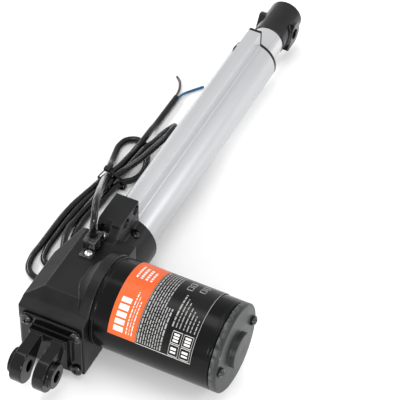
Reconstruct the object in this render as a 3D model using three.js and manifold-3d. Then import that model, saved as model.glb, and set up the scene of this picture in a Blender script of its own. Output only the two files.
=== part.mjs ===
// Linear actuator with a right-angle worm gear motor, retracted and lying on its gearbox.
//
// Lengths are in millimetres. The parts are built about the X axis, which is the axis of the tube,
// the rod and the lead screw, with the rod end towards +X. The motor's axis points along -Y and
// passes above the screw. At the end the whole model is moved so that its origin is at the middle
// of its underside, with the cord left out of that box.
import * as THREE from 'three';
import { mergeVertices } from 'three/addons/utils/BufferGeometryUtils.js';
import Module from 'manifold-3d';

const wasm = await Module();
wasm.setup();

// ---------------------------------------------------------------- driving dimensions
const GAP = 0.3; // between pieces that touch

// outer tube: round, with a channel along its top
const TUBE = { radius: 18, wall: 2.5, start: 34, end: 274.2 };
const CHANNEL = { half: 5, top: 30.2, wall: 1.6 };

// rod and the pieces that travel with it
const ROD = { radius: 12.5, bore: 9.5 };
const ROD_EYE = { start: 300.8, end: 335, radius: 13.2, x: 317, padHalf: 9, padFace: 15.2 };
const NUT = { start: 38, end: 58, radius: 15.1, keyHalf: 3, keyTop: 18.5 };
const PIN_HOLE = 4.25; // radius, for an 8 mm pin

// lead screw and worm drive
const SCREW = { radius: 5, shoulder: 6, journal: 4.9, start: -35, end: 256 };
const WHEEL = { teeth: 20, tip: 9.6, root: 8, half: 6 };
const CENTRES = 15; // from the screw's axis up to the motor's axis
const WORM = { radius: 5, half: 11 };
const SHAFT = { radius: 3, start: -117.2, end: 19 };
const BEARING = { radius: 13, bore: 5.2 };

// gearbox housing
const BODY = { rear: -37.9, front: 38, right: -22.6, left: 25.5, base: -23.5, roof: 32 };
const COLLAR = { end: 69, radius: 22.7, half: 8.7, top: 40.7 };
const FLANGE = { radius: 32, taperStart: -15, taperEnd: -5, taperRadius: 19 };

// rear clevis
const CLEVIS = { face: -40.7, pin: -63.5, radius: 13, gapHalf: 4.2, earFace: 12.7 };
const HUB = { radius: 9, face: 16.5 };
const REAR_SCREWS = { y: 18.5, z: 16.4 };

// motor
const CAN = { radius: 31.5, bore: 29.3, start: -23, end: -110.6 };
const END_PLATE = { start: -110.9, face: -116, boss: 12.6, bossFace: -120.4 };
const THROUGH_BOLT = { x: 25, z: 18 };

// cable outlet on the gearbox roof, and the cord
const OUTLET = { x: 25, y: 3.5, screwSpan: 9.5, screwY: 1.8 };
const CORD_RADIUS = 2.4;

// ---------------------------------------------------------------- solids
// One closed manifold solid from a three.js geometry.
function solid(geometry) {
  const bare = new THREE.BufferGeometry();
  bare.setAttribute('position', geometry.getAttribute('position'));
  bare.setIndex(geometry.getIndex());
  const merged = mergeVertices(bare, 1e-4);
  const corners = merged.getIndex().array;
  const kept = [];
  for (let i = 0; i < corners.length; i += 3) {
    const [a, b, c] = corners.slice(i, i + 3);
    if (a !== b && b !== c && c !== a) kept.push(a, b, c);
  }
  return new wasm.Manifold(new wasm.Mesh({
    numProp: 3,
    vertProperties: new Float32Array(merged.getAttribute('position').array),
    triVerts: new Uint32Array(kept),
  }));
}

// Rotations that lay a geometry built along Y (lathes) or Z (extrusions) along another axis.
const LATHE_TURN = {
  x: new THREE.Matrix4().makeRotationZ(-Math.PI / 2),
  y: new THREE.Matrix4(),
  z: new THREE.Matrix4().makeRotationX(Math.PI / 2),
};
const X = new THREE.Vector3(1, 0, 0);
const Y = new THREE.Vector3(0, 1, 0);
const Z = new THREE.Vector3(0, 0, 1);
const EXTRUDE_TURN = {
  x: new THREE.Matrix4().makeBasis(Y, Z, X),
  y: new THREE.Matrix4().makeBasis(Z, X, Y),
  z: new THREE.Matrix4(),
};

// A turned solid: profile is a list of [radius, place along the axis], going up on the outside.
function turned(axis, profile, at = [0, 0, 0], segments = 32) {
  const points = profile.map(([radius, along]) => new THREE.Vector2(radius, along));
  if (profile[0][0] > 0) points.push(points[0].clone());
  const geometry = new THREE.LatheGeometry(points, segments);
  geometry.applyMatrix4(LATHE_TURN[axis]);
  geometry.translate(...at);
  return solid(geometry);
}

// A plain cylinder, or a ring when it has a bore.
function cylinder(axis, radius, from, to, at, segments, bore = 0) {
  const [low, high] = from < to ? [from, to] : [to, from];
  return turned(axis, [[bore, low], [radius, low], [radius, high], [bore, high]], at, segments);
}

// A shape extruded along an axis. Its own x and y are Y and Z, Z and X, or X and Y in turn.
function extruded(axis, shape, from, to, curveSegments = 16) {
  const [low, high] = from < to ? [from, to] : [to, from];
  const options = { depth: high - low, bevelEnabled: false, curveSegments };
  const geometry = new THREE.ExtrudeGeometry(shape, options);
  geometry.translate(0, 0, low);
  geometry.applyMatrix4(EXTRUDE_TURN[axis]);
  return solid(geometry);
}

function outline(points) {
  return new THREE.Shape(points.map(([a, b]) => new THREE.Vector2(a, b)));
}

function block(x, y, z) {
  const geometry = new THREE.BoxGeometry(x[1] - x[0], y[1] - y[0], z[1] - z[0]);
  geometry.translate((x[0] + x[1]) / 2, (y[0] + y[1]) / 2, (z[0] + z[1]) / 2);
  return solid(geometry);
}

// The tube's section in Y and Z: a circle with a flat-sided channel standing on its top.
function keyhole(radius, half, top) {
  const foot = Math.asin(half / radius);
  const shape = new THREE.Shape();
  shape.moveTo(half, top);
  shape.lineTo(-half, top);
  shape.absarc(0, 0, radius, Math.PI / 2 + foot, 2.5 * Math.PI - foot, false);
  return shape;
}

// A rectangle with round corners.
function roundedRectangle(left, right, bottom, top, radius) {
  const shape = new THREE.Shape();
  shape.absarc(right - radius, top - radius, radius, 0, Math.PI / 2, false);
  shape.absarc(left + radius, top - radius, radius, Math.PI / 2, Math.PI, false);
  shape.absarc(left + radius, bottom + radius, radius, Math.PI, 1.5 * Math.PI, false);
  shape.absarc(right - radius, bottom + radius, radius, 1.5 * Math.PI, 2 * Math.PI, false);
  return shape;
}

// A band of a ring about the motor's axis, in Z and X, centred on an angle measured from +Z.
function ringBand(inner, outer, middle, spread) {
  const shape = new THREE.Shape();
  shape.absarc(CENTRES, 0, outer, middle - spread / 2, middle + spread / 2, false);
  shape.absarc(CENTRES, 0, inner, middle + spread / 2, middle - spread / 2, true);
  return shape;
}

// ---------------------------------------------------------------- materials and nodes
function finish(color, roughness, metalness = 0) {
  return new THREE.MeshStandardMaterial({ color, roughness, metalness });
}

const castBlack = () => finish(0x1d1d1f, 0.62, 0.1);
const satinAluminium = () => finish(0xc9cacc, 0.38, 0.9);
const glossBlack = () => finish(0x17181b, 0.3, 0.3);
const blackPlastic = () => finish(0x151516, 0.5);
const blackSteel = () => finish(0x222224, 0.35, 0.8);
const brightSteel = () => finish(0xb9babd, 0.25, 1);
const bronze = () => finish(0xb08a4a, 0.4, 0.9);
const copper = () => finish(0xb46a3c, 0.4, 0.9);
const nylon = () => finish(0xe4dfd0, 0.55);
const ferrite = () => finish(0x3a3b3d, 0.8);
const laminate = () => finish(0x6f7276, 0.5, 0.8);
const circuitGreen = () => finish(0x1f5a34, 0.5);
const rubber = () => finish(0x111112, 0.7);

const actuator = new THREE.Group();
const cordGroup = new THREE.Group();

function addNode(name, body, material, group = actuator) {
  const { vertProperties, triVerts } = body.getMesh();
  const geometry = new THREE.BufferGeometry();
  geometry.setAttribute('position', new THREE.BufferAttribute(new Float32Array(vertProperties), 3));
  geometry.setIndex(new THREE.BufferAttribute(new Uint32Array(triVerts), 1));
  geometry.computeVertexNormals();
  const mesh = new THREE.Mesh(geometry, material);
  mesh.name = name;
  group.add(mesh);
}

// A pan-head screw along X, Y or Z: the head rises from face in the direction of rise (+1 or -1).
function panScrew(axis, at, face, rise, head, shank) {
  const along = (distance) => face + rise * distance;
  const profile = [
    [0, along(-shank.length)], [shank.radius, along(-shank.length)],
    [shank.radius, along(GAP)], [head.radius, along(GAP)],
    [head.radius, along(GAP + 0.55 * head.height)],
    [0.62 * head.radius, along(GAP + head.height)], [0, along(GAP + head.height)],
  ];
  if (rise < 0) profile.reverse();
  return turned(axis, profile, at, 20);
}

// ---------------------------------------------------------------- gearbox
function makeHousing() {
  const { rear, front, right, left, base, roof } = BODY;
  // side view in Z and X: a low chamfer behind, then a steeper one up to the roof
  const side = outline([
    [base, rear], [23.4, rear], [26.4, -30.2], [roof, -21], [roof, front - 1], [roof - 1, front],
    [base, front],
  ].reverse());
  // end view in Y and Z: the roof falls away towards the left wall
  const end = outline([[right, base], [left, base], [left + 1.1, 26.4], [15, roof], [right, roof]]);
  // plan: the left wall draws in towards the front
  const plan = outline([
    [rear, right], [front, right], [front, 18.5], [12, left + 1.1], [rear, left + 1.1],
  ]);
  const shell = extruded('y', side, right, left + 2)
    .intersect(extruded('x', end, rear, front))
    .intersect(extruded('z', plan, base - 1, roof + 1));
  const motorAxis = [0, 0, CENTRES];
  const flange = turned('y', [
    [0, right], [FLANGE.radius, right], [FLANGE.radius, FLANGE.taperStart],
    [FLANGE.taperRadius, FLANGE.taperEnd], [0, FLANGE.taperEnd],
  ], motorAxis, 48);
  const collar = extruded('x', keyhole(COLLAR.radius, COLLAR.half, COLLAR.top), 40.5, COLLAR.end, 18)
    .add(cylinder('x', COLLAR.radius, 30, 41, [0, 0, 0], 40));
  // the collar's top runs down to the roof in a ramp beside the cable clamp
  const ramp = extruded('y', outline([
    [roof - 3, 31.5], [roof, 31.5], [COLLAR.top, 43.5], [roof - 3, 43.5],
  ].reverse()), -COLLAR.half, -2.3);
  const outside = shell.add(flange).add(collar).add(ramp);

  const cuts = [
    cylinder('x', 18.6, rear - 1, 20, [0, 0, 0], 40),
    cylinder('y', 9.5, right - 1, 21, motorAxis, 24),
    cylinder('x', BEARING.radius + GAP, 19, TUBE.start, [0, 0, 0], 32),
    extruded('x', keyhole(TUBE.radius + GAP, CHANNEL.half + GAP, CHANNEL.top + GAP),
      TUBE.start - GAP, COLLAR.end + 1, 16),
    extruded('y', outline([[36.5, 40], [COLLAR.top + 1, 40], [COLLAR.top + 1, 44.1], [36.5, 40.4]]),
      -2.3, COLLAR.half + 1),
    cylinder('z', 5, 16, roof + 1, [OUTLET.x, OUTLET.y, 0], 20),
    cylinder('z', 3.4, 17.6, 30, [58, -11.5, 0], 20),
    cylinder('z', 1.7, 15.4, 18, [58, -11.5, 0], 12),
  ];
  for (const [x, z] of [[64.3, 35.3], [50.3, 34.9]]) {
    cuts.push(cylinder('y', 3.6, -COLLAR.half - 1, -COLLAR.half + 2.2, [x, 0, z], 24));
  }
  for (const sideways of [-1, 1]) {
    cuts.push(cylinder('z', 1.8, 30, roof + 1,
      [OUTLET.x + sideways * OUTLET.screwSpan, OUTLET.screwY, 0], 12));
    for (const upwards of [-1, 1]) {
      cuts.push(cylinder('x', 2.1, rear - 1, rear + 13,
        [0, sideways * REAR_SCREWS.y, upwards * REAR_SCREWS.z], 12));
    }
  }
  return cuts.reduce((body, cut) => body.subtract(cut), outside);
}

function makeClevis() {
  const { face, pin, radius, gapHalf, earFace } = CLEVIS;
  const plateBack = BODY.rear - GAP;
  let body = extruded('x', roundedRectangle(-22, 23.5, -21.3, 21.3, 5), face, plateBack, 4)
    .add(cylinder('x', 17.4, plateBack - 1, -25.6, [0, 0, 0], 40))
    .add(block([face - 5.5, face + 1], [-earFace - 1.5, earFace + 1.5], [-14, 14]));
  // each ear in Z and X: straight sides from the plate, then round about the pin
  const ear = new THREE.Shape();
  ear.moveTo(-radius, face);
  ear.absarc(0, pin, radius, Math.PI, 2 * Math.PI, false);
  ear.lineTo(radius, face);
  for (const side of [-1, 1]) {
    body = body.add(extruded('y', ear, side * gapHalf, side * earFace, 12))
      .add(cylinder('y', HUB.radius, side * (earFace - 1), side * HUB.face, [pin, 0, 0], 28));
  }
  const slot = block([pin - radius - 1, face - 5.5], [-gapHalf, gapHalf], [-15, 15]);
  return body.subtract(slot)
    .subtract(cylinder('y', PIN_HOLE, -HUB.face - 1, HUB.face + 1, [pin, 0, 0], 24))
    .subtract(cylinder('x', BEARING.radius + GAP, -34 - GAP, -25, [0, 0, 0], 32))
    .subtract(cylinder('x', 8, -37, -30, [0, 0, 0], 24))
    .subtract(screwHolesInPlate(face));
}

function screwHolesInPlate(face) {
  const holes = [];
  for (const sideways of [-1, 1]) {
    for (const upwards of [-1, 1]) {
      holes.push(cylinder('x', 2.2, face - 1, BODY.rear + 1,
        [0, sideways * REAR_SCREWS.y, upwards * REAR_SCREWS.z], 12));
    }
  }
  return holes.reduce((all, hole) => all.add(hole));
}

addNode('gearbox_housing', makeHousing(), castBlack());
addNode('rear_clevis', makeClevis(), castBlack());
let count = 0;
for (const upwards of [1, -1]) {
  for (const sideways of [1, -1]) {
    count += 1;
    addNode(`rear_screw_${count}`, panScrew('x',
      [0, sideways * REAR_SCREWS.y, upwards * REAR_SCREWS.z], CLEVIS.face, -1,
      { radius: 4.2, height: 2.8 }, { radius: 1.8, length: 13 }), blackSteel());
  }
}
addNode('collar_screw', panScrew('z', [58, -11.5, 0], 17.6, 1,
  { radius: 2.9, height: 1.9 }, { radius: 1.4, length: 1.9 }), blackSteel());

// ---------------------------------------------------------------- tube, guide and limit switches
function makeTube() {
  const inner = keyhole(TUBE.radius - TUBE.wall, CHANNEL.half - CHANNEL.wall,
    CHANNEL.top - CHANNEL.wall);
  return extruded('x', keyhole(TUBE.radius, CHANNEL.half, CHANNEL.top), TUBE.start, TUBE.end)
    .subtract(extruded('x', inner, TUBE.start - 1, TUBE.end + 1))
    .subtract(cylinder('y', 1.6, CHANNEL.half - 3, CHANNEL.half + 1, [254.5, 0, 24.5], 12));
}

const boreRadius = ROD.radius + GAP;
addNode('outer_tube', makeTube(), satinAluminium());
addNode('tube_end_cap',
  extruded('x', keyhole(TUBE.radius, CHANNEL.half, CHANNEL.top), TUBE.end + GAP, TUBE.end + 2.6)
    .subtract(cylinder('x', boreRadius, TUBE.end, TUBE.end + 3, [0, 0, 0], 32)), blackPlastic());
addNode('guide_bush', cylinder('x', TUBE.radius - TUBE.wall - GAP, 259, 269.5, [0, 0, 0], 32,
  boreRadius), nylon());
addNode('rod_seal', cylinder('x', TUBE.radius - TUBE.wall - GAP, 269.8, 274.1, [0, 0, 0], 32,
  boreRadius), rubber());
addNode('tube_side_screw', panScrew('y', [254.5, 0, 24.5], CHANNEL.half, 1,
  { radius: 3.8, height: 3.4 }, { radius: 1.3, length: 1.5 }), blackSteel());
addNode('limit_board', block([72, 256], [-3.1, 3.1], [26.7, 28.3]), circuitGreen());
addNode('limit_switch_rear', block([72, 84], [-2.9, 2.9], [20.4, 26.4]), blackPlastic());
addNode('limit_switch_front', block([240, 250], [-2.9, 2.9], [20.4, 26.4]), blackPlastic());

// ---------------------------------------------------------------- rod, nut and rod end
function makeRodEnd() {
  const { start, end, radius, x, padHalf, padFace } = ROD_EYE;
  const cap = turned('x', [
    [0, start], [radius, start], [radius, end - 1], [radius - 1, end], [0, end],
  ], [0, 0, 0], 36).add(cylinder('x', ROD.bore - GAP, start - 16, start + 1, [0, 0, 0], 28));
  // the pads on both sides, in Z and X: square behind, half round about the pin hole in front
  const pad = new THREE.Shape();
  pad.moveTo(padHalf, start + 4.7);
  pad.absarc(0, x, padHalf, 0, Math.PI, false);
  pad.lineTo(-padHalf, start + 4.7);
  return cap.add(extruded('y', pad, -padFace, padFace, 12))
    .subtract(cylinder('y', PIN_HOLE, -padFace - 1, padFace + 1, [x, 0, 0], 24));
}

addNode('rod_tube', cylinder('x', ROD.radius, NUT.end + GAP, ROD_EYE.start - GAP, [0, 0, 0], 36,
  ROD.bore), satinAluminium());
addNode('rod_end', makeRodEnd(), glossBlack());
addNode('drive_nut',
  cylinder('x', NUT.radius, NUT.start, NUT.end, [0, 0, 0], 32)
    .add(block([NUT.start, NUT.end], [-NUT.keyHalf, NUT.keyHalf], [10, NUT.keyTop]))
    .add(cylinder('x', ROD.bore - GAP, NUT.end - 1, NUT.end + 12, [0, 0, 0], 28))
    .subtract(cylinder('x', SCREW.radius + GAP, NUT.start - 1, NUT.end + 13, [0, 0, 0], 24)),
  nylon());

// ---------------------------------------------------------------- screw, worm wheel, bearings
function makeWheel() {
  const { teeth, tip, root, half } = WHEEL;
  const points = [];
  for (let tooth = 0; tooth < teeth; tooth += 1) {
    for (const [step, radius] of [[-0.32, root], [-0.14, tip], [0.14, tip], [0.32, root]]) {
      const angle = (2 * Math.PI * (tooth + step)) / teeth;
      points.push([radius * Math.cos(angle), radius * Math.sin(angle)]);
    }
  }
  return extruded('x', outline(points), -half, half)
    .subtract(cylinder('x', SCREW.shoulder + GAP, -half - 1, half + 1, [0, 0, 0], 24));
}

addNode('lead_screw', turned('x', [
  [0, SCREW.start], [SCREW.journal, SCREW.start], [SCREW.journal, -24],
  [SCREW.shoulder, -24], [SCREW.shoulder, 20], [SCREW.journal, 20], [SCREW.journal, 36],
  [SCREW.radius, 36], [SCREW.radius, SCREW.end - 2], [SCREW.radius - 1.5, SCREW.end],
  [0, SCREW.end],
], [0, 0, 0], 24), brightSteel());
addNode('worm_wheel', makeWheel(), nylon());
addNode('screw_bearing_rear', cylinder('x', BEARING.radius, -34, -26, [0, 0, 0], 32,
  BEARING.bore), brightSteel());
addNode('screw_bearing_front', cylinder('x', BEARING.radius, 23, 31, [0, 0, 0], 32,
  BEARING.bore), brightSteel());

// ---------------------------------------------------------------- motor
const motorAxis = [0, 0, CENTRES];
const shaftBore = SHAFT.radius + GAP;

function makeArmature() {
  const slots = 12;
  const points = [];
  for (let slot = 0; slot < slots; slot += 1) {
    for (const [step, radius] of [[-0.4, 20], [0, 20], [0.4, 20], [0.44, 14], [0.56, 14]]) {
      const angle = (2 * Math.PI * (slot + step)) / slots;
      points.push([CENTRES + radius * Math.cos(angle), radius * Math.sin(angle)]);
    }
  }
  return extruded('y', outline(points), -82, -42)
    .subtract(cylinder('y', shaftBore, -83, -41, motorAxis, 20));
}

function makeEndPlate() {
  const { start, face, boss, bossFace } = END_PLATE;
  let plate = turned('y', [
    [0, bossFace], [boss - 1, bossFace], [boss, bossFace + 1], [boss, face],
    [CAN.radius - 1, face], [CAN.radius, face + 1], [CAN.radius, start], [0, start],
  ], motorAxis, 48).subtract(cylinder('y', 7, -118, start + 1, motorAxis, 24));
  for (const side of [-1, 1]) {
    plate = plate.subtract(cylinder('y', 2.1, face - 1, start + 1,
      [side * THROUGH_BOLT.x, 0, THROUGH_BOLT.z], 12));
  }
  return plate;
}

addNode('motor_can', turned('y', [
  [CAN.bore, CAN.end], [CAN.radius - 1.2, CAN.end], [CAN.radius, CAN.end + 1.5],
  [CAN.radius, CAN.start], [CAN.bore, CAN.start],
], motorAxis, 48), glossBlack());
addNode('motor_end_plate', makeEndPlate(), finish(0x8f9092, 0.7, 0.3));
addNode('motor_shaft', cylinder('y', SHAFT.radius, SHAFT.start, SHAFT.end, motorAxis, 20),
  brightSteel());
addNode('worm', cylinder('y', WORM.radius, -WORM.half, WORM.half, motorAxis, 24, shaftBore),
  brightSteel());
addNode('shaft_bearing_inner', cylinder('y', 9.2, 13, 18, motorAxis, 28, shaftBore), brightSteel());
addNode('shaft_bearing_outer', cylinder('y', 9.2, -20, -14, motorAxis, 28, shaftBore), brightSteel());
addNode('shaft_bush', cylinder('y', 6.7, -117.5, -111.2, motorAxis, 24, shaftBore), bronze());
addNode('armature_core', makeArmature(), laminate());
addNode('winding_front', turned('y', [
  [shaftBore + 3, -41.7], [18, -41.7], [16.5, -36], [shaftBore + 3, -36],
], motorAxis, 28), copper());
addNode('winding_rear', turned('y', [
  [shaftBore + 3, -87.6], [16.5, -87.6], [18, -82.3], [shaftBore + 3, -82.3],
], motorAxis, 28), copper());
addNode('commutator', cylinder('y', 9, -99, -88, motorAxis, 24, shaftBore), copper());
addNode('brush_ring', cylinder('y', CAN.bore - GAP, -102.5, -100, motorAxis, 40, 12),
  blackPlastic());
for (const side of [-1, 1]) {
  const number = side < 0 ? 1 : 2;
  const x = [side * 9.4, side * 22].sort((a, b) => a - b);
  addNode(`brush_${number}`, block(x, [-97, -91], [CENTRES - 3, CENTRES + 3]), ferrite());
  addNode(`magnet_${number}`, extruded('y',
    ringBand(21.2, CAN.bore - GAP, side * Math.PI / 2, 2.3), -86, -38, 14), ferrite());
  addNode(`motor_bolt_${number}`, panScrew('y',
    [side * THROUGH_BOLT.x, 0, THROUGH_BOLT.z], END_PLATE.face, -1,
    { radius: 3.6, height: 3 }, { radius: 1.8, length: 8 }), blackSteel());
}
addNode('motor_label', extruded('y',
  ringBand(CAN.radius + GAP, CAN.radius + 0.6, -0.15, 3.9), -98, -36.5, 24), finish(0xe8622c, 0.45));

// ---------------------------------------------------------------- cable outlet
const outlet = [OUTLET.x, OUTLET.y, 0];
const roofTop = BODY.roof + GAP;

function makeGrommet() {
  const profile = [[3, 22], [4.7, 22], [4.7, 31], [4.7, roofTop], [5.2, roofTop]];
  for (let rib = 0; rib < 3; rib += 1) {
    const foot = roofTop + 2.2 * rib;
    profile.push([5.2, foot + 1.3], [4.2, foot + 1.5], [4.2, foot + 2], [5.2, foot + 2.2]);
  }
  profile.push([5.2, roofTop + 8], [3, roofTop + 8]);
  return turned('z', profile, outlet, 24);
}

// A strap that stands over the grommet: two feet, two legs, and a bridge the cord passes through.
function makeClamp() {
  const thickness = 1;
  const inner = 5.5;
  const outer = inner + thickness;
  const reach = OUTLET.screwSpan + 3.1;
  const bridge = roofTop + 8.4;
  const side = outline([
    [-reach, roofTop], [-inner, roofTop], [-inner, bridge], [inner, bridge], [inner, roofTop],
    [reach, roofTop], [reach, roofTop + thickness], [outer, roofTop + thickness],
    [outer, bridge + thickness], [-outer, bridge + thickness], [-outer, roofTop + thickness],
    [-reach, roofTop + thickness],
  ].map(([x, z]) => [z, OUTLET.x + x]).reverse());
  let strap = extruded('y', side, OUTLET.y - 5.2, OUTLET.y + 4.2)
    .subtract(cylinder('z', CORD_RADIUS + GAP, bridge - 1, bridge + 3, outlet, 20));
  for (const sideways of [-1, 1]) {
    strap = strap.subtract(cylinder('z', 1.9, roofTop - 1, roofTop + 3,
      [OUTLET.x + sideways * OUTLET.screwSpan, OUTLET.screwY, 0], 12));
  }
  return strap;
}

addNode('cable_grommet', makeGrommet(), rubber());
addNode('cable_clamp', makeClamp(), blackSteel());
for (const side of [-1, 1]) {
  addNode(`clamp_screw_${side < 0 ? 1 : 2}`, panScrew('z',
    [OUTLET.x + side * OUTLET.screwSpan, OUTLET.screwY, 0], roofTop + 1, 1,
    { radius: 2.7, height: 2.1 }, { radius: 1.5, length: 2.8 }), brightSteel());
}

// ---------------------------------------------------------------- cord, tie and bare ends
// The cord rises from its grommet, drops to the surface beside the gearbox, makes a small loop and
// a hank of long flat folds under one tie, and runs straight to its cut end.
const CORD_ROUTE = [
  [25, 3.5, 40.7], [25.2, 3.3, 50], [28.5, 3.8, 56.5], [37, 7.3, 59.5], [51, 12.8, 54], [74.5, 23.2, 35.5],
  [102, 36, 11], [119, 43.8, -6.5], [130, 48.2, -14.6], [137.5, 51.2, -15.4], [147, 54.3, -19.4], [157, 56.8, -21.1],
  [165, 58, -21.1], [172.8, 55.9, -21.1], [176.9, 49.3, -21.1], [175, 41.8, -21.1], [168.5, 36.3, -21.1], [160, 32.4, -21.1],
  [152, 30, -21.1], [144, 29.9, -20.8], [137.5, 32, -20.2], [130.5, 37.3, -19.2], [120, 41, -20], [105, 42.6, -21.1],
  [90, 45, -21.1], [78, 44.8, -21.1], [66, 42.8, -21.1], [56, 37.6, -21.1], [46, 34.5, -21.1], [38.5, 38.5, -21.1],
  [36.3, 45.5, -21.1], [40, 52, -21.1], [50, 55, -21.1], [64, 55.4, -21.1], [79, 55.4, -21.1], [94, 54.6, -21.1],
  [107, 52.6, -21.1], [119, 49.2, -20.6], [130, 46, -19.3], [145, 42.2, -20.4], [158, 40, -18.8], [168, 37.4, -16.3],
  [177, 35, -17.5], [185.5, 32.3, -15.5], [189.6, 26.5, -9.5], [186.4, 22.6, -3.6], [176.5, 21.2, -0.9], [164, 25.5, -4.2],
  [151, 32, -10], [140, 38.6, -13.8], [130, 42.9, -15.3], [119, 45, -16.4], [108, 47.6, -19], [96, 49.6, -21],
  [84, 50.2, -20.5], [73, 49.6, -17.8], [62, 46.8, -16.2], [50.5, 42.3, -16.1], [40.5, 38, -16.1], [31, 37.2, -19.2],
  [24, 42, -21], [22.6, 50, -21.1], [27.5, 57.3, -21.1], [38, 60.6, -21.1], [52, 60.6, -21.1], [67, 60.6, -21.1],
  [82, 60.4, -21.1], [97, 59, -21.1], [110, 56.4, -21.1], [120, 54, -20.7], [131, 50.9, -19.3], [145, 47.3, -20.4],
  [158, 45.2, -19.2], [168, 42.8, -16.5], [177, 42.4, -16.2], [187, 43.2, -18], [198, 43.8, -20.6], [212, 43.8, -21.1],
  [231.5, 43.6, -21.1],
];
const WIRE_RADIUS = 0.95;
const BROWN_ROUTE = [
  [231.9, 44.7, -21.1], [238, 45.5, -22], [244.5, 47.3, -22.5], [250.4, 50.5, -22.5],
  [253.9, 54.5, -22.5],
];
const BLUE_ROUTE = [
  [231.9, 42.5, -21.1], [238.7, 40.9, -22], [245.4, 37, -22.5], [253.1, 31.2, -22.5],
];
// the passes of the cord that the tie goes round, in Y and Z
const TIE = { x: 128.5, width: 2.6, inner: 3, thickness: 0.8 };
const TIED_PASSES = [[36.7, -19.7], [52.3, -19.7], [47.8, -12.5], [42.2, -14.3]];

function along(route, radius, sides, steps) {
  const section = new THREE.Shape();
  for (let side = 0; side < sides; side += 1) {
    const angle = (2 * Math.PI * side) / sides;
    const corner = [radius * Math.cos(angle), radius * Math.sin(angle)];
    if (side === 0) section.moveTo(...corner);
    else section.lineTo(...corner);
  }
  const points = route.map((point) => new THREE.Vector3(...point));
  const extrudePath = new THREE.CatmullRomCurve3(points, false, 'centripetal');
  return solid(new THREE.ExtrudeGeometry(section, { steps, extrudePath, bevelEnabled: false }));
}

// The outline of a strap pulled round a convex set of circles, given anticlockwise.
function strapOutline(centres, radius) {
  const shape = new THREE.Shape();
  centres.forEach(([y, z], i) => {
    const [beforeY, beforeZ] = centres[(i + centres.length - 1) % centres.length];
    const [afterY, afterZ] = centres[(i + 1) % centres.length];
    const from = Math.atan2(z - beforeZ, y - beforeY) - Math.PI / 2;
    const to = Math.atan2(afterZ - z, afterY - y) - Math.PI / 2;
    shape.absarc(y, z, radius, from, to, false);
  });
  return shape;
}

function makeTie() {
  const { x, width, inner, thickness } = TIE;
  const [from, to] = [x - width / 2, x + width / 2];
  const headBase = -12.5 + inner + 0.4;
  return extruded('x', strapOutline(TIED_PASSES, inner + thickness), from, to, 5)
    .add(block([from - 0.6, to + 0.6], [45.8, 50.4], [headBase, headBase + 2.6]))
    .subtract(extruded('x', strapOutline(TIED_PASSES, inner), from - 1, to + 1, 5));
}

addNode('power_cable', along(CORD_ROUTE, CORD_RADIUS, 8, 80), blackPlastic(), cordGroup);
addNode('cable_tie', makeTie(), blackPlastic(), cordGroup);
addNode('brown_wire', along(BROWN_ROUTE, WIRE_RADIUS, 8, 8), finish(0x6b3a24, 0.45), cordGroup);
addNode('blue_wire', along(BLUE_ROUTE, WIRE_RADIUS, 8, 8), finish(0x1f6fb8, 0.45), cordGroup);

// ---------------------------------------------------------------- placing the model
const lowest = BODY.base;
const rearEnd = CLEVIS.pin - CLEVIS.radius;
const farSide = BODY.left + 1.1;
actuator.position.set(
  -(rearEnd + ROD_EYE.end) / 2,
  -(END_PLATE.bossFace + farSide) / 2,
  -lowest,
);
actuator.add(cordGroup);

export default actuator;
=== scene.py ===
"""The looks of the linear actuator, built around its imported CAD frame.

Places are worked out in millimetres from the axis of the tube, at the plane of the motor's axis.
X runs towards the rod end, -Y towards the motor and Z up. at() turns such a place into metres in
the part's frame.
"""

import math
import random

import bmesh
import bpy
from mathutils import Matrix, Vector


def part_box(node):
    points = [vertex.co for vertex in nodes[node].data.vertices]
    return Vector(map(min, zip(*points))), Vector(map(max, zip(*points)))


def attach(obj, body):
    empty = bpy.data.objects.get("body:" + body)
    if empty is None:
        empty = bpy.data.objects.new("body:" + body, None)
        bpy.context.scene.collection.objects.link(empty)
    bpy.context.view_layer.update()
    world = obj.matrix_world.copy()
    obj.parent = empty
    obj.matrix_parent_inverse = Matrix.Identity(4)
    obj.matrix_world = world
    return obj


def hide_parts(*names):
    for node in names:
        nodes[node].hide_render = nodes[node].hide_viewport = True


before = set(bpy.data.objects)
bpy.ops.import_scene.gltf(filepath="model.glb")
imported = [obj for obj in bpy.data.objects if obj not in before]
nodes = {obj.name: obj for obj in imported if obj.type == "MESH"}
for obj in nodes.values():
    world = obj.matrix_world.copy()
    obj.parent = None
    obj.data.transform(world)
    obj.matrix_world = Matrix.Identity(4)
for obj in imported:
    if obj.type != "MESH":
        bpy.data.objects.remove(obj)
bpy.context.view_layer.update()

MM = 0.001
TUBE_START = 34
tube_low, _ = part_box("outer_tube")
rod_low, rod_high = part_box("rod_tube")
rod_middle = (rod_low + rod_high) / 2
ORIGIN = Vector((tube_low.x - TUBE_START * MM, rod_middle.y, rod_middle.z))
MOTOR_Z = 15


def at(x, y, z):
    """A place in millimetres from the tube's axis, in metres in the part's frame."""
    return ORIGIN + Vector((x, y, z)) * MM


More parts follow.
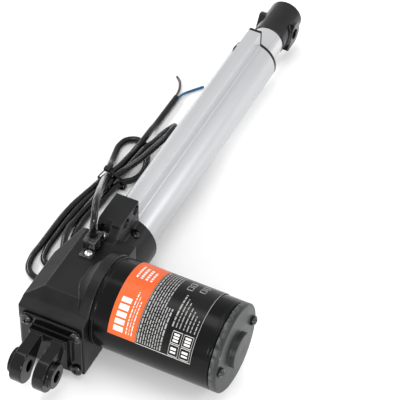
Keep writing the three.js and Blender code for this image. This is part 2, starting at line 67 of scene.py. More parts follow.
# ---------------------------------------------------------------- camera
camera = bpy.data.objects.new("camera", bpy.data.cameras.new("camera"))
bpy.context.scene.collection.objects.link(camera)
AZIMUTH, ELEVATION, ROLL = (math.radians(a) for a in (-64.8359, 46.0598, 1.4818))
CAMERA_PLACE = (-811.34, -468.31, 1072.46)
FOCAL_PIXELS = 2093.07
IMAGE_PIXELS = 400
SENSOR_MM = 36
back = Vector((math.sin(AZIMUTH) * math.cos(ELEVATION), -math.cos(AZIMUTH) * math.cos(ELEVATION),
               math.sin(ELEVATION)))
level = Vector((math.cos(AZIMUTH), math.sin(AZIMUTH), 0))
upright = back.cross(level)
right = math.cos(ROLL) * level + math.sin(ROLL) * upright
up = math.cos(ROLL) * upright - math.sin(ROLL) * level
turn = Matrix((right, up, back)).transposed().to_4x4()
camera.matrix_world = Matrix.Translation(at(*CAMERA_PLACE)) @ turn
camera.data.sensor_width = SENSOR_MM
camera.data.lens = FOCAL_PIXELS * SENSOR_MM / IMAGE_PIXELS
camera.data.clip_start = 0.05
camera.data.clip_end = 50
bpy.context.scene.camera = camera


# ---------------------------------------------------------------- materials
def new_material(name):
    material = bpy.data.materials.new(name)
    material.use_nodes = True
    tree = material.node_tree
    shader = tree.nodes["Principled BSDF"]
    place = tree.nodes.new("ShaderNodeTexCoord")
    return material, tree, shader, place.outputs["Object"]


def noise(tree, place, scale, detail=4, stretch=None):
    if stretch:
        mapping = tree.nodes.new("ShaderNodeMapping")
        mapping.inputs["Scale"].default_value = stretch
        tree.links.new(place, mapping.inputs["Vector"])
        place = mapping.outputs["Vector"]
    texture = tree.nodes.new("ShaderNodeTexNoise")
    texture.inputs["Scale"].default_value = scale
    texture.inputs["Detail"].default_value = detail
    tree.links.new(place, texture.inputs["Vector"])
    return texture.outputs["Fac"]


def ramp(tree, value, low, high, start=0.3, end=0.7):
    """Value between start and end, spread over low to high, which are colours or plain numbers."""
    if isinstance(low, (int, float)):
        spread = tree.nodes.new("ShaderNodeMapRange")
        for socket, number in (("From Min", start), ("From Max", end), ("To Min", low), ("To Max", high)):
            spread.inputs[socket].default_value = number
        tree.links.new(value, spread.inputs["Value"])
        return spread.outputs["Result"]
    colours = tree.nodes.new("ShaderNodeValToRGB")
    for stop, position, colour in ((0, start, low), (1, end, high)):
        colours.color_ramp.elements[stop].position = position
        colours.color_ramp.elements[stop].color = (*colour, 1)
    tree.links.new(value, colours.inputs["Fac"])
    return colours.outputs["Color"]


def finish(name, dark, light, rough, metallic=0.0, mottle=60, grain=2500, depth=0.00002, wear=None,
           stretch=None, specular=0.5):
    """A surface with mottled colour and roughness, a fine grain, and optionally paler worn edges."""
    material, tree, shader, place = new_material(name)
    shader.inputs["Metallic"].default_value = metallic
    shader.inputs["Specular IOR Level"].default_value = specular
    patches = noise(tree, place, mottle, 5, stretch)
    colour = ramp(tree, patches, dark, light)
    if wear:
        edges = tree.nodes.new("ShaderNodeNewGeometry").outputs["Pointiness"]
        worn = ramp(tree, edges, 0.0, 1.0, 0.53, 0.62)
        broken = ramp(tree, noise(tree, place, 400, 3), 0.0, 1.0, 0.4, 0.6)
        share = tree.nodes.new("ShaderNodeMath")
        share.operation = "MULTIPLY"
        tree.links.new(worn, share.inputs[0])
        tree.links.new(broken, share.inputs[1])
        mix = tree.nodes.new("ShaderNodeMix")
        mix.data_type = "RGBA"
        tree.links.new(share.outputs[0], mix.inputs["Factor"])
        tree.links.new(colour, mix.inputs["A"])
        mix.inputs["B"].default_value = (*wear, 1)
        colour = mix.outputs["Result"]
    tree.links.new(colour, shader.inputs["Base Color"])
    fine = noise(tree, place, grain, 3, stretch)
    tree.links.new(ramp(tree, patches, rough[0], rough[1]), shader.inputs["Roughness"])
    bump = tree.nodes.new("ShaderNodeBump")
    bump.inputs["Strength"].default_value = 0.6
    bump.inputs["Distance"].default_value = depth
    tree.links.new(fine, bump.inputs["Height"])
    tree.links.new(bump.outputs["Normal"], shader.inputs["Normal"])
    return material


ALONG_X = (0.03, 1, 1)
CAST_BLACK = finish("cast_black_paint", (0.0035, 0.0036, 0.004), (0.008, 0.008, 0.009), (0.3, 0.42),
                    mottle=45, grain=1300, depth=0.00008, wear=(0.05, 0.05, 0.052), specular=0.22)
CLEVIS_BLACK = finish("gloss_cast_black", (0.0016, 0.0016, 0.0018), (0.0035, 0.0035, 0.0038),
                      (0.08, 0.17), mottle=60, grain=800, depth=0.00008, wear=(0.06, 0.06, 0.06),
                      specular=0.26)
CAN_BLACK = finish("can_black_paint", (0.0016, 0.0016, 0.002), (0.003, 0.003, 0.0034), (0.16, 0.23),
                   mottle=30, grain=1800, depth=0.00002, specular=0.14)
END_BLACK = finish("rod_end_black", (0.003, 0.003, 0.0034), (0.006, 0.006, 0.0066), (0.14, 0.24),
                   mottle=70, grain=1500, depth=0.00003, wear=(0.05, 0.05, 0.052), specular=0.35)
END_PLATE_GREY = finish("end_plate_grey", (0.012, 0.013, 0.0135), (0.022, 0.0235, 0.024), (0.36, 0.48),
                        mottle=70, grain=1600, depth=0.00006, wear=(0.12, 0.12, 0.12), specular=0.3)
ALUMINIUM = finish("satin_aluminium", (0.45, 0.455, 0.468), (0.52, 0.525, 0.538), (0.34, 0.42),
                   metallic=0.6, mottle=120, grain=1500, depth=0.000012, stretch=ALONG_X, specular=0.3)
ROD_METAL = finish("rod_satin", (0.52, 0.52, 0.53), (0.60, 0.60, 0.61), (0.26, 0.34), metallic=0.7,
                   mottle=150, grain=1500, depth=0.00001, stretch=ALONG_X)
BLACK_PLASTIC = finish("black_plastic", (0.003, 0.003, 0.0034), (0.007, 0.007, 0.0075), (0.35, 0.45),
                       mottle=90, grain=2200, depth=0.00003, specular=0.3)
SCREW_BLACK = finish("blackened_steel", (0.004, 0.004, 0.0045), (0.012, 0.012, 0.0125), (0.16, 0.26),
                     mottle=300, grain=2500, depth=0.000015, wear=(0.1, 0.1, 0.1), specular=0.5)
STEEL = finish("bright_steel", (0.62, 0.62, 0.63), (0.78, 0.78, 0.79), (0.24, 0.34), metallic=0.85,
               mottle=250, grain=2800, depth=0.00001, wear=(0.8, 0.8, 0.8))
RUBBER = finish("grommet_rubber", (0.003, 0.003, 0.003), (0.008, 0.008, 0.008), (0.28, 0.42),
                mottle=200, grain=2000, depth=0.00004, specular=0.4)
SHEATH = finish("cable_sheath", (0.0025, 0.0025, 0.0028), (0.006, 0.006, 0.0065), (0.13, 0.24),
                mottle=120, grain=500, depth=0.00008, specular=0.35)
BROWN = finish("brown_insulation", (0.045, 0.028, 0.026), (0.075, 0.045, 0.042), (0.25, 0.35),
               mottle=300, grain=1500)
BLUE = finish("blue_insulation", (0.008, 0.085, 0.20), (0.012, 0.12, 0.27), (0.25, 0.35), mottle=300,
              grain=1500)
ORANGE_PRINT = finish("label_orange", (0.58, 0.088, 0.018), (0.66, 0.106, 0.022), (0.3, 0.38),
                      mottle=80, grain=1500, depth=0.000006, specular=0.25)
BLACK_PRINT = finish("label_black", (0.002, 0.002, 0.0022), (0.004, 0.004, 0.0044), (0.24, 0.32),
                     mottle=80, grain=1500, depth=0.000006, specular=0.2)
WHITE_PRINT = finish("label_white", (0.60, 0.59, 0.57), (0.70, 0.69, 0.67), (0.35, 0.45), mottle=200,
                     grain=1500, depth=0.000006, specular=0.25)
GREY_PRINT = finish("label_fine_print", (0.24, 0.235, 0.23), (0.34, 0.335, 0.33), (0.35, 0.45),
                    mottle=200, grain=1500, depth=0.000006, specular=0.25)
NYLON = finish("nylon", (0.70, 0.67, 0.58), (0.78, 0.75, 0.67), (0.4, 0.55), mottle=100)
BRONZE = finish("sintered_bronze", (0.36, 0.22, 0.08), (0.48, 0.31, 0.13), (0.35, 0.5), metallic=0.9)
COPPER = finish("copper_wire", (0.45, 0.17, 0.07), (0.62, 0.27, 0.12), (0.28, 0.42), metallic=0.9,
                mottle=400, stretch=(1, 0.2, 1))
FERRITE = finish("ferrite", (0.025, 0.025, 0.026), (0.045, 0.045, 0.046), (0.6, 0.8), mottle=200)
LAMINATE = finish("laminated_steel", (0.16, 0.16, 0.17), (0.30, 0.30, 0.31), (0.4, 0.55), metallic=0.8,
                  mottle=500, stretch=(0.02, 1.5, 0.02))
BOARD_GREEN = finish("board_green", (0.012, 0.075, 0.03), (0.02, 0.11, 0.045), (0.3, 0.45), mottle=250)


# ---------------------------------------------------------------- mesh helpers
def place_piece(piece, material, body, slot, *replaced):
    if material is not None:
        piece.data.materials.clear()
        piece.data.materials.append(material)
    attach(piece, body)
    if replaced:
        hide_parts(*replaced)
    return piece


def piece_from(name, mesh):
    piece = bpy.data.objects.new(name, mesh)
    bpy.context.scene.collection.objects.link(piece)
    return piece


def shade(mesh, angle=35):
    for polygon in mesh.polygons:
        polygon.use_smooth = True
    mesh.set_sharp_from_angle(angle=math.radians(angle))


def mesh_from(name, vertices, faces, angle=35):
    mesh = bpy.data.meshes.new(name)
    mesh.from_pydata([tuple(v) for v in vertices], [], faces)
    work = bmesh.new()
    work.from_mesh(mesh)
    bmesh.ops.remove_doubles(work, verts=work.verts, dist=1e-7)
    bmesh.ops.recalc_face_normals(work, faces=work.faces)
    work.to_mesh(mesh)
    work.free()
    shade(mesh, angle)
    return mesh


def apply_modifiers(piece):
    bpy.context.view_layer.update()
    done = bpy.data.meshes.new_from_object(piece.evaluated_get(bpy.context.evaluated_depsgraph_get()))
    piece.modifiers.clear()
    piece.data = done
    return piece


def softened(profile, radius, steps=4):
    """The profile with each inner corner rounded. Points are (radius, along) in millimetres."""
    rounded = [profile[0]]
    for before, corner, after in zip(profile, profile[1:], profile[2:]):
        here = Vector(corner)
        ins, outs = Vector(before) - here, Vector(after) - here
        cut = min(radius, ins.length * 0.45, outs.length * 0.45)
        start, end = here + ins.normalized() * cut, here + outs.normalized() * cut
        for step in range(steps + 1):
            t = step / steps
            point = start * (1 - t) ** 2 + here * 2 * t * (1 - t) + end * t * t
            rounded.append((point.x, point.y))
    rounded.append(profile[-1])
    return rounded


AXES = {
    "x": (Vector((0, 1, 0)), Vector((0, 0, 1)), Vector((1, 0, 0))),
    "y": (Vector((0, 0, 1)), Vector((1, 0, 0)), Vector((0, 1, 0))),
    "z": (Vector((1, 0, 0)), Vector((0, 1, 0)), Vector((0, 0, 1))),
}


def lathe(name, axis, profile, centre, round_by=0.3, segments=96):
    """A turned piece about an axis through centre. A profile that doesn't end on the axis is closed."""
    across, over, length = AXES[axis]
    ring = softened(profile, round_by)
    closed = profile[0][0] > 0
    vertices = []
    for segment in range(segments):
        angle = 2 * math.pi * segment / segments
        out = across * math.cos(angle) + over * math.sin(angle)
        vertices += [at(*(Vector(centre) + out * radius + length * far)) for radius, far in ring]
    count = len(ring)
    faces = []
    for segment in range(segments):
        other = (segment + 1) % segments
        for i in range(count if closed else count - 1):
            j = (i + 1) % count
            faces.append((segment * count + i, segment * count + j, other * count + j, other * count + i))
    return piece_from(name, mesh_from(name, vertices, faces))


def plate(name, axis, outlines, low, high, bevel=0.3, centre=(0, 0, 0)):
    """A flat piece with holes, cut square to an axis, with its edges rounded."""
    across, over, length = AXES[axis]
    curve = bpy.data.curves.new(name, "CURVE")
    curve.dimensions = "2D"
    curve.fill_mode = "BOTH"
    curve.extrude = ((high - low) / 2 - bevel) * MM
    curve.bevel_depth = bevel * MM
    curve.bevel_resolution = 3
    curve.offset = -bevel * MM
    for outline in outlines:
        spline = curve.splines.new("POLY")
        spline.points.add(len(outline) - 1)
        spline.use_cyclic_u = True
        for point, (a, b) in zip(spline.points, outline):
            point.co = (a * MM, b * MM, 0, 1)
    flat = piece_from(name + "_flat", curve)
    bpy.context.view_layer.update()
    mesh = bpy.data.meshes.new_from_object(flat.evaluated_get(bpy.context.evaluated_depsgraph_get()))
    bpy.data.objects.remove(flat)
    middle = at(*(Vector(centre) + length * (low + high) / 2))
    basis = Matrix((across, over, length)).transposed().to_4x4()
    mesh.transform(Matrix.Translation(middle) @ basis)
    work = bmesh.new()
    work.from_mesh(mesh)
    bmesh.ops.remove_doubles(work, verts=work.verts, dist=1e-6)
    bmesh.ops.recalc_face_normals(work, faces=work.faces)
    work.to_mesh(mesh)
    work.free()
    shade(mesh, 30)
    return piece_from(name, mesh)


def arc(centre, radius, start, end, steps=24):
    """Points of an arc, in degrees."""
    return [(centre[0] + radius * math.cos(math.radians(start + (end - start) * i / steps)),
             centre[1] + radius * math.sin(math.radians(start + (end - start) * i / steps)))
            for i in range(steps + 1)]


def cast(name, node, voxel, passes):
    """The CAD node's shape with its edges and inner corners rounded, as a casting's are."""
    piece = piece_from(name, nodes[node].data.copy())
    remesh = piece.modifiers.new("remesh", "REMESH")
    remesh.mode = "VOXEL"
    remesh.voxel_size = voxel * MM
    smooth = piece.modifiers.new("smooth", "SMOOTH")
    smooth.factor = 0.5
    smooth.iterations = passes
    apply_modifiers(piece)
    shade(piece.data, 80)
    return piece


def cut(piece, cutter):
    boolean = piece.modifiers.new("cut", "BOOLEAN")
    boolean.operation = "DIFFERENCE"
    boolean.solver = "EXACT"
    boolean.object = cutter
    apply_modifiers(piece)
    bpy.data.objects.remove(cutter)
    shade(piece.data, 30)
    return piece


def bar(axis, centre, width, height, low, high):
    half_width, half_height = width / 2, height / 2
    corners = [(-half_width, -half_height), (half_width, -half_height), (half_width, half_height),
               (-half_width, half_height)]
    across, over, length = AXES[axis]
    vertices = [at(*(Vector(centre) + across * a + over * b + length * far))
                for far in (low, high) for a, b in corners]
    faces = [(3, 2, 1, 0), (4, 5, 6, 7), (0, 1, 5, 4), (1, 2, 6, 5), (2, 3, 7, 6), (3, 0, 4, 7)]
    return piece_from("bar", mesh_from("bar", vertices, faces))


def pan_head(name, axis, centre, rise, radius, height, shank, shank_length):
    """A domed screw head with a cross recess. centre is on its seat, and rise is the way it points."""
    low = -shank_length
    dome = [(radius * math.cos(t), height * (0.35 + 0.65 * math.sin(t)))
            for t in (math.radians(d) for d in (0, 15, 30, 45, 60, 75))]
    profile = [(0, low), (shank, low), (shank, 0), (radius, 0)] + dome + [(0, height)]
    profile = [(r, rise * far) for r, far in profile]
    piece = lathe(name, axis, profile, centre, 0.12, 48)
    deep, top = rise * height * 0.45, rise * (height + 1)
    for width, depth in ((radius * 1.15, radius * 0.26), (radius * 0.26, radius * 1.15)):
        cut(piece, bar(axis, centre, width, depth, min(deep, top), max(deep, top)))
    return piece


# ---------------------------------------------------------------- cord
CORD_RADIUS, WIRE_RADIUS = 2.4, 0.95
CORD_ROUTE = [
    (25, 3.5, 40.7), (25.2, 3.3, 50), (28.5, 3.8, 56.5), (37, 7.3, 59.5),
    (51, 12.8, 54), (74.5, 23.2, 35.5), (102, 36, 11), (119, 43.8, -6.5),
    (130, 48.2, -14.6), (137.5, 51.2, -15.4), (147, 54.3, -19.4), (157, 56.8, -21.1),
    (165, 58, -21.1), (172.8, 55.9, -21.1), (176.9, 49.3, -21.1), (175, 41.8, -21.1),
    (168.5, 36.3, -21.1), (160, 32.4, -21.1), (152, 30, -21.1), (144, 29.9, -20.8),
    (137.5, 32, -20.2), (130.5, 37.3, -19.2), (120, 41, -20), (105, 42.6, -21.1),
    (90, 45, -21.1), (78, 44.8, -21.1), (66, 42.8, -21.1), (56, 37.6, -21.1),
    (46, 34.5, -21.1), (38.5, 38.5, -21.1), (36.3, 45.5, -21.1), (40, 52, -21.1),
    (50, 55, -21.1), (64, 55.4, -21.1), (79, 55.4, -21.1), (94, 54.6, -21.1),
    (107, 52.6, -21.1), (119, 49.2, -20.6), (130, 46, -19.3), (145, 42.2, -20.4),
    (158, 40, -18.8), (168, 37.4, -16.3), (177, 35, -17.5), (185.5, 32.3, -15.5),
    (189.6, 26.5, -9.5), (186.4, 22.6, -3.6), (176.5, 21.2, -0.9), (164, 25.5, -4.2),
    (151, 32, -10), (140, 38.6, -13.8), (130, 42.9, -15.3), (119, 45, -16.4),
    (108, 47.6, -19), (96, 49.6, -21), (84, 50.2, -20.5), (73, 49.6, -17.8),
    (62, 46.8, -16.2), (50.5, 42.3, -16.1), (40.5, 38, -16.1), (31, 37.2, -19.2),
    (24, 42, -21), (22.6, 50, -21.1), (27.5, 57.3, -21.1), (38, 60.6, -21.1),
    (52, 60.6, -21.1), (67, 60.6, -21.1), (82, 60.4, -21.1), (97, 59, -21.1),
    (110, 56.4, -21.1), (120, 54, -20.7), (131, 50.9, -19.3), (145, 47.3, -20.4),
    (158, 45.2, -19.2), (168, 42.8, -16.5), (177, 42.4, -16.2), (187, 43.2, -18),
    (198, 43.8, -20.6), (212, 43.8, -21.1), (231.5, 43.6, -21.1),
]
BROWN_ROUTE = [(231.9, 44.7, -21.1), (238, 45.5, -22), (244.5, 47.3, -22.5), (250.4, 50.5, -22.5),
               (253.9, 54.5, -22.5)]
BLUE_ROUTE = [(231.9, 42.5, -21.1), (238.7, 40.9, -22), (245.4, 37, -22.5), (253.1, 31.2, -22.5)]


def smooth_route(route, per_span):
    """A centripetal curve through the points of a route."""
    points = [Vector(p) for p in route]
    points = [2 * points[0] - points[1]] + points + [2 * points[-1] - points[-2]]
    line = []
    for p0, p1, p2, p3 in zip(points, points[1:], points[2:], points[3:]):
        d0, d1, d2 = (max((b - a).length, 1e-6) ** 0.5 for a, b in ((p0, p1), (p1, p2), (p2, p3)))
        t1 = ((p1 - p0) / d0 - (p2 - p0) / (d0 + d1) + (p2 - p1) / d1) * d1
        t2 = ((p2 - p1) / d1 - (p3 - p1) / (d1 + d2) + (p3 - p2) / d2) * d1
        for i in range(per_span):
            t = i / per_span
            line.append(p1 + t1 * t + (3 * (p2 - p1) - 2 * t1 - t2) * t ** 2
                        + (2 * (p1 - p2) + t1 + t2) * t ** 3)
    return line + [points[-2]]


def tube_along(name, route, radius, per_span=8, resolution=6):
    curve = bpy.data.curves.new(name, "CURVE")
    curve.dimensions = "3D"
    curve.bevel_depth = radius * MM
    curve.bevel_resolution = resolution
    curve.use_fill_caps = True
    line = smooth_route(route, per_span)
    spline = curve.splines.new("POLY")
    spline.points.add(len(line) - 1)
    spline.use_smooth = True
    for point, place in zip(spline.points, line):
        point.co = (*at(*place), 1)
    length = sum((b - a).length for a, b in zip(line, line[1:])) * MM
    return piece_from(name, curve), length


power_cable, cable_length = tube_along("power_cable_sheath", CORD_ROUTE, CORD_RADIUS)
place_piece(power_cable, SHEATH, "housing", "cable_black", "power_cable")
brown, _ = tube_along("brown_conductor", BROWN_ROUTE, WIRE_RADIUS)
place_piece(brown, BROWN, "housing", "wire_brown", "brown_wire")
blue, _ = tube_along("blue_conductor", BLUE_ROUTE, WIRE_RADIUS)
place_piece(blue, BLUE, "housing", "wire_blue", "blue_wire")
tie = cast("cable_tie_strap", "cable_tie", 0.25, 3)
place_piece(tie, BLACK_PLASTIC, "housing", "black_plastic", "cable_tie")

# ---------------------------------------------------------------- gearbox
housing = cast("gearbox_casting", "gearbox_housing", 0.55, 5)
for way in ("hole", "slot"):
    mark = (lathe("mark", "x", [(0, 38), (1.4, 38), (1.4, 43.2), (0, 43.2)], (0, 4.6, 36.4), 0.01, 32)
            if way == "hole" else bar("x", (0, 2.8, 37.2), 3.0, 0.9, 38, 43.2))
    cut(housing, mark)
shade(housing.data, 80)
place_piece(housing, CAST_BLACK, "housing", "cast_black", "gearbox_housing")
clevis = cast("rear_clevis_casting", "rear_clevis", 0.45, 4)
place_piece(clevis, CLEVIS_BLACK, "housing", "cast_black", "rear_clevis")
number = 0
for z in (16.4, -16.4):
    for y in (18.5, -18.5):
        number += 1
        screw = pan_head(f"rear_screw_head_{number}", "x", (-41.0, y, z), -1, 4.2, 2.6, 1.8, 12.7)
        place_piece(screw, SCREW_BLACK, "housing", "black_steel", f"rear_screw_{number}")
screw = pan_head("collar_screw_head", "z", (58, -11.5, 17.9), 1, 2.9, 1.8, 1.4, 2.1)
place_piece(screw, SCREW_BLACK, "housing", "black_steel", "collar_screw")

# ---------------------------------------------------------------- tube and its front end
TUBE_RADIUS, TUBE_WALL, TUBE_END = 18, 2.5, 274.2
CHANNEL_HALF, CHANNEL_TOP, CHANNEL_WALL = 5, 30.2, 1.6
CAP_START, CAP_END, CAP_BORE = 274.5, 276.8, 12.8


def keyhole(radius, half, top, corner, fillet):
    """The tube's section in Y and Z, with rounded channel corners and a fillet at the channel's foot."""
    reach = math.sqrt((radius + fillet) ** 2 - (half + fillet) ** 2)
    touch = math.degrees(math.atan2(reach, half + fillet))
    points = arc((half - corner, top - corner), corner, 0, 90, 6)
    points += arc((-half + corner, top - corner), corner, 90, 180, 6)
    points += arc((-half - fillet, reach), fillet, 0, -touch, 8)
    points += arc((0, 0), radius, 180 - touch, 360 + touch, 120)
    points += arc((half + fillet, reach), fillet, 180 + touch, 180, 8)
    return points


outer = keyhole(TUBE_RADIUS, CHANNEL_HALF, CHANNEL_TOP, 0.8, 1.6)
inner = keyhole(TUBE_RADIUS - TUBE_WALL, CHANNEL_HALF - CHANNEL_WALL, CHANNEL_TOP - CHANNEL_WALL, 0.4, 0.8)
tube = plate("outer_tube_extrusion", "x", [outer, inner], TUBE_START, TUBE_END, 0.25)
place_piece(tube, ALUMINIUM, "housing", "satin_aluminium", "outer_tube")
bore = arc((0, 0), CAP_BORE, 0, 360, 96)[:-1]
cap = plate("tube_end_plate", "x", [outer, bore], CAP_START, CAP_END, 0.35)
place_piece(cap, BLACK_PLASTIC, "housing", "black_plastic", "tube_end_cap")
screw = pan_head("tube_side_screw_head", "y", (254.5, 5.1, 24.5), 1, 3.8, 3.2, 1.3, 1.4)
place_piece(screw, SCREW_BLACK, "housing", "black_steel", "tube_side_screw")

# ---------------------------------------------------------------- rod
rod = lathe("rod", "x", [(9.5, 58.3), (12.5, 58.3), (12.5, 300.5), (9.5, 300.5)], (0, 0, 0), 0.4, 128)
place_piece(rod, ROD_METAL, "rod", "satin_aluminium", "rod_tube")
rod_end = cast("rod_end_casting", "rod_end", 0.35, 3)
place_piece(rod_end, END_BLACK, "rod", "gloss_black", "rod_end")

# ---------------------------------------------------------------- motor
MOTOR = (0, 0, MOTOR_Z)
can = lathe("motor_can_shell", "y", [
    (29.3, -110.6), (30.3, -110.6), (31.5, -109.6), (31.5, -108.2), (31.2, -107.9), (31.2, -107.3),
    (31.5, -107.0), (31.5, -26.2), (31.25, -25.9), (31.25, -25.3), (31.5, -25.0), (31.5, -23.0),
    (29.3, -23.0)], MOTOR, 0.35, 160)
place_piece(can, CAN_BLACK, "housing", "gloss_black", "motor_can")
end_plate = lathe("motor_end_cover", "y", [
    (7, -110.9), (7, -118), (0, -118), (0, -120.4), (12.6, -120.4), (12.6, -116), (30.6, -116),
    (31.5, -115.2), (31.5, -110.9)], MOTOR, 0.5, 160)
for side in (-1, 1):
    hole = lathe("hole", "y", [(0, -117), (2.1, -117), (2.1, -110), (0, -110)],
                 (side * 25, 0, 18), 0.01, 32)
    cut(end_plate, hole)
    head = pan_head(f"motor_bolt_head_{1 if side < 0 else 2}", "y", (side * 25, -116.3, 18), -1,
                    3.6, 2.9, 1.8, 7.7)
    place_piece(head, SCREW_BLACK, "housing", "black_steel", f"motor_bolt_{1 if side < 0 else 2}")
place_piece(end_plate, END_PLATE_GREY, "housing", "grey_plate", "motor_end_plate")

# ---------------------------------------------------------------- label
LABEL_IN, LABEL_OUT = 31.8, 32.0
LABEL_FROM, LABEL_TO = -1.34, 1.48
LABEL_NEAR, LABEL_BAND, LABEL_FAR = -37.0, -57.0, -97.5
ORANGE, BLACK, WHITE, GREY = range(4)


def print_rows():
    """Plain bars in place of the label's print: (around from, around to, along from, along to)."""
    marks = []
    chance = random.Random(7)
    for block in range(5):
        start = 4.0 + block * 5.0
        marks.append((start, start + 3.6, -47.4, -40.6))
    for row in range(3):
        marks += broken_line(chance, 4.0, 34.0 - 3 * row, -49.6 - row * 2.0, 0.7)
    for row in range(4):
        marks += broken_line(chance, 44.0, 58.0 - row, -41.5 - row * 3.4, 1.6, 2.4)
    for row in range(10):
        marks += broken_line(chance, 1.5, 64.0 if row < 7 else 32.0, -58.6 - row * 1.8, 0.75)
    for row in range(7):
        marks += broken_line(chance, 20.5, 45.0 - 2.5 * row, -79.0 - row * 2.6, 0.75)
    for low in (-96.2, -88.0):
        for start in (1.0, 10.2):
            marks += outlined(start, start + 8.4, low, low + 7.2)
        marks += [(3.0, 4.6, low + 1.6, low + 5.6), (5.6, 7.2, low + 1.6, low + 5.6)]
        marks += [(11.6 + 2.1 * bar_number, 13.0 + 2.1 * bar_number, low + 1.6, low + 5.6)
                  for bar_number in range(3)]
    for start, low in ((50.0, -80.0), (56.0, -80.0), (52.0, -88.5), (58.5, -88.5)):
        marks += outlined(start, start + 4.4, low, low + 4.4)
    marks += outlined(0.0, 200.0, LABEL_FAR, LABEL_BAND - 0.4)
    return marks


def outlined(start, end, low, high, line=0.4):
    """The four sides of a thin rectangle."""
    return [(start, end, low, low + line), (start, end, high - line, high),
            (start, start + line, low, high), (end - line, end, low, high)]


def broken_line(chance, start, end, along, width, longest=4.5):
    pieces = []
    while start < end:
        length = chance.uniform(1.2, longest)
        pieces.append((start, min(start + length, end), along - width, along))
        start += length + 0.7
    return pieces


def make_label():
    marks = print_rows()
    step = 0.35
    columns = int((LABEL_TO - LABEL_FROM) * LABEL_OUT / step)
    rows = int((LABEL_NEAR - LABEL_FAR) / step)
    vertices, faces, colours = [], [], []

    def corner(column, row, radius):
        angle = LABEL_FROM + (LABEL_TO - LABEL_FROM) * column / columns
        along = LABEL_NEAR + (LABEL_FAR - LABEL_NEAR) * row / rows
        return at(radius * math.sin(angle), along, MOTOR_Z + radius * math.cos(angle))

    for radius in (LABEL_OUT, LABEL_IN):
        for row in range(rows + 1):
            vertices += [corner(column, row, radius) for column in range(columns + 1)]
    wide = columns + 1
    sheet = wide * (rows + 1)
    for row in range(rows):
        along = LABEL_NEAR + (LABEL_FAR - LABEL_NEAR) * (row + 0.5) / rows
        for column in range(columns):
            around = (column + 0.5) * step
            first = row * wide + column
            quad = (first, first + 1, first + 1 + wide, first + wide)
            faces.append(quad)
            ground = ORANGE if along > LABEL_BAND else BLACK
            inks = [GREY if ground == BLACK and d - c < 1 else WHITE for a, b, c, d in marks
                    if a <= around <= b and c <= along <= d]
            colours.append(inks[0] if inks else ground)
            faces.append(tuple(reversed([v + sheet for v in quad])))
            colours.append(ground)
    edge = [(c, 0) for c in range(columns)] + [(columns, r) for r in range(rows)]
    edge += [(c, rows) for c in range(columns, 0, -1)] + [(0, r) for r in range(rows, 0, -1)]
    for (c1, r1), (c2, r2) in zip(edge, edge[1:] + edge[:1]):
        a, b = r1 * wide + c1, r2 * wide + c2
        faces.append((b, a, a + sheet, b + sheet))
        colours.append(BLACK)
    mesh = bpy.data.meshes.new("motor_label_film")
    mesh.from_pydata([tuple(v) for v in vertices], [], faces)
    for material in (ORANGE_PRINT, BLACK_PRINT, WHITE_PRINT, GREY_PRINT):
        mesh.materials.append(material)
    mesh.polygons.foreach_set("material_index", colours)
    shade(mesh, 40)
    return piece_from("motor_label_film", mesh)


place_piece(make_label(), None, "housing", "label_orange", "motor_label")

# ---------------------------------------------------------------- cable outlet
OUTLET_X, OUTLET_Y, ROOF = 25, 3.5, 32.3
SCREW_Y, SCREW_SPAN = 1.8, 9.5
profile = [(3, 22), (4.7, 22), (4.7, ROOF), (5.2, ROOF)]
for rib in range(3):
    foot = ROOF + 2.2 * rib
    profile += [(5.2, foot + 1.3), (4.1, foot + 1.5), (4.1, foot + 2.0), (5.2, foot + 2.2)]
profile += [(5.2, 40.3), (3, 40.3)]
grommet = lathe("cable_grommet_ribbed", "z", profile, (OUTLET_X, OUTLET_Y, 0), 0.25, 72)
place_piece(grommet, RUBBER, "housing", "rubber", "cable_grommet")
BRIDGE, LEG, REACH = 40.7, 5.5, 12.6
# half of the strap's outline, in Z and the distance from its middle, and then its mirror image
half_strap = [(ROOF, LEG), (ROOF, REACH), (ROOF + 1, REACH), (ROOF + 1, LEG + 1.5),
              (ROOF + 1.5, LEG + 1), (BRIDGE + 0.3, LEG + 1), (BRIDGE + 1, LEG + 0.3)]
strap = [(z, OUTLET_X - off) for z, off in half_strap]
strap += [(z, OUTLET_X + off) for z, off in reversed(half_strap)]
strap += [(BRIDGE, OUTLET_X + LEG), (BRIDGE, OUTLET_X - LEG)]
clamp = plate("cable_clamp_strap", "y", [strap], -1.7, 7.7, 0.25)
holes = [((OUTLET_X, OUTLET_Y, 0), 2.7, 40)]
holes += [((OUTLET_X + side * SCREW_SPAN, SCREW_Y, 0), 1.9, 30) for side in (-1, 1)]
for centre, radius, foot in holes:
    cut(clamp, lathe("hole", "z", [(0, foot), (radius, foot), (radius, 44), (0, 44)], centre, 0.01, 32))
place_piece(clamp, SCREW_BLACK, "housing", "black_steel", "cable_clamp")
for side in (-1, 1):
    number = 1 if side < 0 else 2
    seat = (OUTLET_X + side * SCREW_SPAN, SCREW_Y, 33.6)
    screw = pan_head(f"clamp_screw_head_{number}", "z", seat, 1, 2.7, 2.0, 1.5, 3.0)
    place_piece(screw, STEEL, "housing", "bright_steel", f"clamp_screw_{number}")

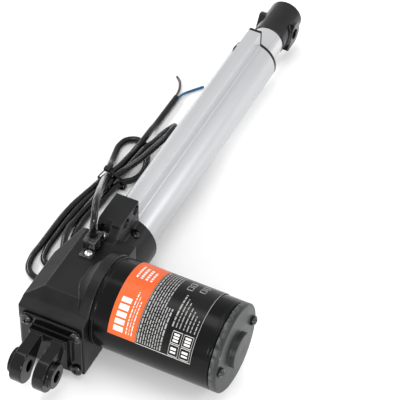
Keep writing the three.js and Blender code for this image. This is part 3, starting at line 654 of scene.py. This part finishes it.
# ---------------------------------------------------------------- pieces inside keep their CAD shape
INSIDE = {
    "guide_bush": NYLON, "rod_seal": RUBBER, "drive_nut": NYLON, "worm_wheel": NYLON,
    "limit_board": BOARD_GREEN, "limit_switch_rear": BLACK_PLASTIC, "limit_switch_front": BLACK_PLASTIC,
    "lead_screw": STEEL, "screw_bearing_rear": STEEL, "screw_bearing_front": STEEL,
    "motor_shaft": STEEL, "worm": STEEL, "shaft_bearing_inner": STEEL, "shaft_bearing_outer": STEEL,
    "shaft_bush": BRONZE, "armature_core": LAMINATE, "winding_front": COPPER, "winding_rear": COPPER,
    "commutator": COPPER, "brush_ring": BLACK_PLASTIC, "brush_1": FERRITE, "brush_2": FERRITE,
    "magnet_1": FERRITE, "magnet_2": FERRITE,
}
for name, material in INSIDE.items():
    mesh = nodes[name].data
    mesh.materials.clear()
    mesh.materials.append(material)

# ---------------------------------------------------------------- floor, light
floor = piece_from("floor", mesh_from("floor", [(-6, -6, 0), (6, -6, 0), (6, 6, 0), (-6, 6, 0)],
                                      [(0, 1, 2, 3)]))
floor.location.z = -0.0002
floor_material, floor_tree, floor_shader, floor_place = new_material("floor_pale")
floor_tree.links.new(ramp(floor_tree, noise(floor_tree, floor_place, 1.5), (0.93, 0.93, 0.93),
                          (0.95, 0.95, 0.95)), floor_shader.inputs["Base Color"])
floor_shader.inputs["Roughness"].default_value = 0.9
floor.data.materials.append(floor_material)

world = bpy.data.worlds.new("studio")
world.use_nodes = True
world.node_tree.nodes["Background"].inputs["Color"].default_value = (1, 1, 1, 1)
world.node_tree.nodes["Background"].inputs["Strength"].default_value = 0.88
bpy.context.scene.world = world


def softbox(name, place, target, size, power):
    lamp = bpy.data.lights.new(name, "AREA")
    lamp.shape = "RECTANGLE"
    lamp.size, lamp.size_y = size
    lamp.energy = power
    light = bpy.data.objects.new(name, lamp)
    bpy.context.scene.collection.objects.link(light)
    place, target = Vector(place), Vector(target)
    light.location = place
    light.rotation_euler = (place - target).to_track_quat("Z", "Y").to_euler()


CENTRE = at(60, -20, 0)
softbox("top", CENTRE + Vector((-0.1, 0.1, 1.8)), CENTRE, (1.4, 0.5), 8)
softbox("strip_back", CENTRE + Vector((0.3, 1.3, 0.9)), CENTRE, (1.4, 0.1), 13)
softbox("strip_side", CENTRE + Vector((-1.2, -0.5, 0.5)), CENTRE, (0.9, 0.06), 13)
softbox("strip_front", CENTRE + Vector((0.4, -1.3, 0.7)), CENTRE, (1.0, 0.08), 6)
bpy.context.scene.view_settings.view_transform = "Standard"
